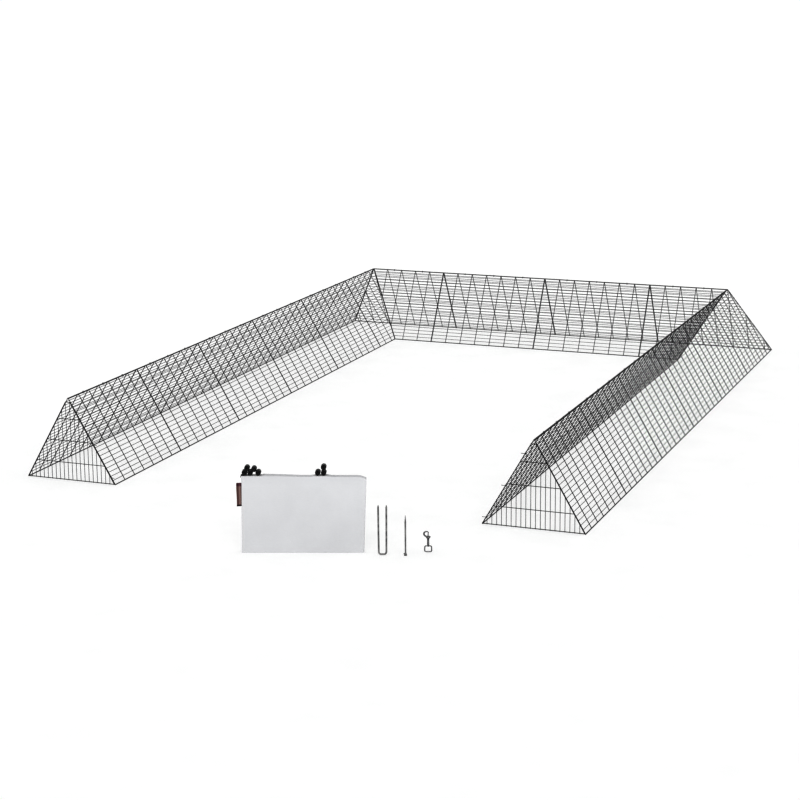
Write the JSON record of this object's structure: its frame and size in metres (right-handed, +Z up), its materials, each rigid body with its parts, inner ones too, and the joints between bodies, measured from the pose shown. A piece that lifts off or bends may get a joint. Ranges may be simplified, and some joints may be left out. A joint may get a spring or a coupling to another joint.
{
  "type": "chicken tunnel run",
  "caption": "U-shaped triangular welded-wire poultry tunnel with mitred corners, end gates on hinge hooks, lift-up inner sides, folded cover, ground pins and a snap hook.",
  "frame": {"origin": "on the ground under the middle of the whole thing's bounding box", "axes": "+X along the back of the U to the right, +Y away from the two gates along the arms, +Z up"},
  "size_m": [4.134, 7.173, 0.606],
  "materials": {
    "black_coated_wire": "satin black powder coat",
    "dark_zinc_wire": "blackened zinc",
    "pale_cover_cloth": "pale grey-white woven sheet, matt",
    "maroon_label": "bare maroon-brown ribbon",
    "black_webbing": "black woven webbing",
    "dark_steel_rod": "dark oiled steel",
    "dark_cast_metal": "dark plated casting",
    "spring_steel": "bright spring wire"
  },
  "bodies": {
    "root": {"left_outer_panel_1": "black_coated_wire", "left_outer_panel_2": "black_coated_wire", "left_outer_panel_3": "black_coated_wire", "left_outer_panel_4": "black_coated_wire", "left_outer_panel_5": "black_coated_wire", "right_outer_panel_1": "black_coated_wire", "right_outer_panel_2": "black_coated_wire", "right_outer_panel_3": "black_coated_wire", "right_outer_panel_4": "black_coated_wire", "right_outer_panel_5": "black_coated_wire", "back_outer_panel_1": "black_coated_wire", "back_outer_panel_2": "black_coated_wire", "left_corner_outer_arm_panel": "black_coated_wire", "left_corner_inner_arm_panel": "black_coated_wire", "left_corner_outer_back_panel": "black_coated_wire", "left_corner_inner_back_panel": "black_coated_wire", "right_corner_outer_arm_panel": "black_coated_wire", "right_corner_inner_arm_panel": "black_coated_wire", "right_corner_outer_back_panel": "black_coated_wire", "right_corner_inner_back_panel": "black_coated_wire", "ridge_rings": "dark_zinc_wire", "outer_joint_rings": "dark_zinc_wire", "corner_rings": "dark_zinc_wire", "folded_cover": "pale_cover_cloth", "side_label": "maroon_label", "left_tie_straps": "black_webbing", "right_tie_straps": "black_webbing", "u_pin": "dark_steel_rod", "ground_stake": "dark_steel_rod", "snap_hook_body": "dark_cast_metal", "snap_hook_spring": "spring_steel"},
    "left_inner_side": {"left_inner_panel_1": "black_coated_wire", "left_inner_panel_2": "black_coated_wire", "left_inner_panel_3": "black_coated_wire", "left_inner_panel_4": "black_coated_wire", "left_inner_panel_5": "black_coated_wire", "left_inner_joint_rings": "dark_zinc_wire"},
    "right_inner_side": {"right_inner_panel_1": "black_coated_wire", "right_inner_panel_2": "black_coated_wire", "right_inner_panel_3": "black_coated_wire", "right_inner_panel_4": "black_coated_wire", "right_inner_panel_5": "black_coated_wire", "right_inner_joint_rings": "dark_zinc_wire"},
    "back_inner_side": {"back_inner_panel_1": "black_coated_wire", "back_inner_panel_2": "black_coated_wire", "back_inner_joint_rings": "dark_zinc_wire"},
    "left_gate_leaf": {"left_gate": "black_coated_wire"},
    "right_gate_leaf": {"right_gate": "black_coated_wire"},
    "snap_bolt": {"snap_hook_bolt": "dark_cast_metal"},
    "snap_swivel": {"swivel_eye": "dark_cast_metal"}
  },
  "joints": [
    {"name": "left_side_lift", "type": "hinge", "parent": "root", "child": "left_inner_side", "pos_m": [-1.71085, 0.01953, 0.597], "axis": [0, -1, 0], "range_deg": [0, 120]},
    {"name": "right_side_lift", "type": "hinge", "parent": "root", "child": "right_inner_side", "pos_m": [1.71085, 0.01953, 0.597], "axis": [0, 1, 0], "range_deg": [0, 120]},
    {"name": "back_side_lift", "type": "hinge", "parent": "root", "child": "back_inner_side", "pos_m": [0, 3.23038, 0.597], "axis": [-1, 0, 0], "range_deg": [0, 120]},
    {"name": "left_gate_swing", "type": "hinge", "parent": "left_inner_side", "child": "left_gate_leaf", "pos_m": [-1.71085, -2.47782, 0.597], "axis": [-0.5041, 0, 0.8637], "range_deg": [0, 100]},
    {"name": "right_gate_swing", "type": "hinge", "parent": "right_inner_side", "child": "right_gate_leaf", "pos_m": [1.71085, -2.47782, 0.597], "axis": [-0.5041, 0, -0.8637], "range_deg": [0, 100]},
    {"name": "snap_bolt_slide", "type": "slide", "parent": "root", "child": "snap_bolt", "axis": [0, 0, -1], "range_m": [0, 0.011], "stiffness_N_per_m": 300, "springref_m": -0.01, "deforming": ["snap_hook_spring"]},
    {"name": "swivel_turn", "type": "hinge", "parent": "root", "child": "snap_swivel", "pos_m": [1.244, -3.16847, 0.04], "axis": [0, 0, 1], "continuous": true}
  ]
}
